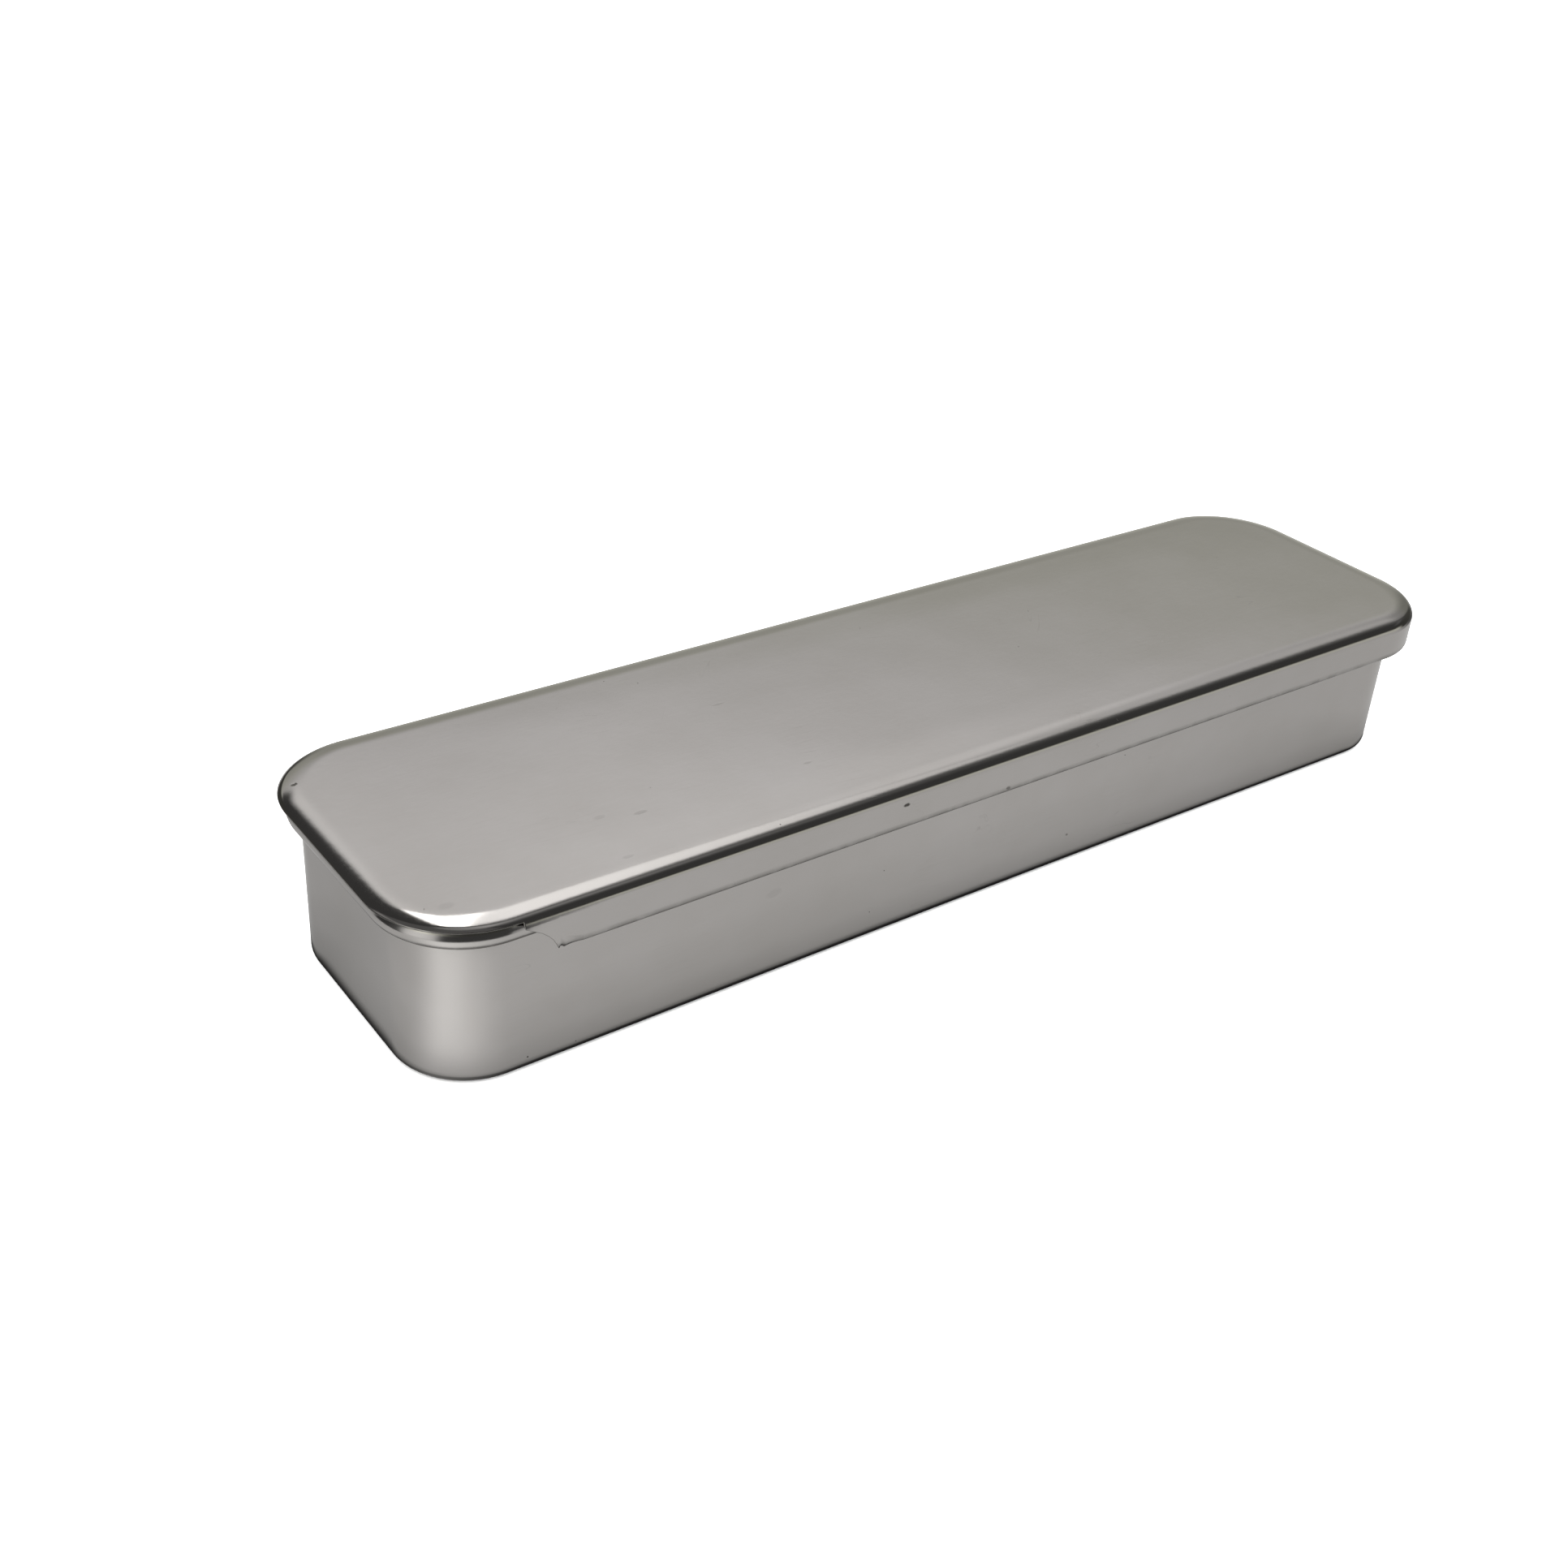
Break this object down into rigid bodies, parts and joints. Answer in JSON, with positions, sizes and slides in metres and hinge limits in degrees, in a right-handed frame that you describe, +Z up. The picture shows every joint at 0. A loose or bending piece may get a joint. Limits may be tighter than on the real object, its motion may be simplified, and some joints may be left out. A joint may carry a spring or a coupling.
{
  "type": "slide-top pencil tin",
  "caption": "Plain long tinplate pencil tin with rounded corners and a sliding lid whose folded edges run along the base's rolled rim.",
  "frame": {"origin": "centre of the underside of the closed tin, on the surface it stands on", "axes": "+X along the length, the way the lid slides off; +Y across the width, away from the picture's front long side; +Z up"},
  "size_m": [0.1902, 0.0508, 0.0262],
  "materials": {
    "base_tinplate": "bare bright tinplate, satin",
    "lid_tinplate": "bare bright tinplate, satin"
  },
  "bodies": {
    "base": {"tin_base": "base_tinplate"},
    "lid": {"sliding_lid": "lid_tinplate"}
  },
  "joints": [
    {"name": "lid_slide", "type": "slide", "parent": "base", "child": "lid", "axis": [1, 0, 0], "range_m": [0, 0.195]}
  ]
}
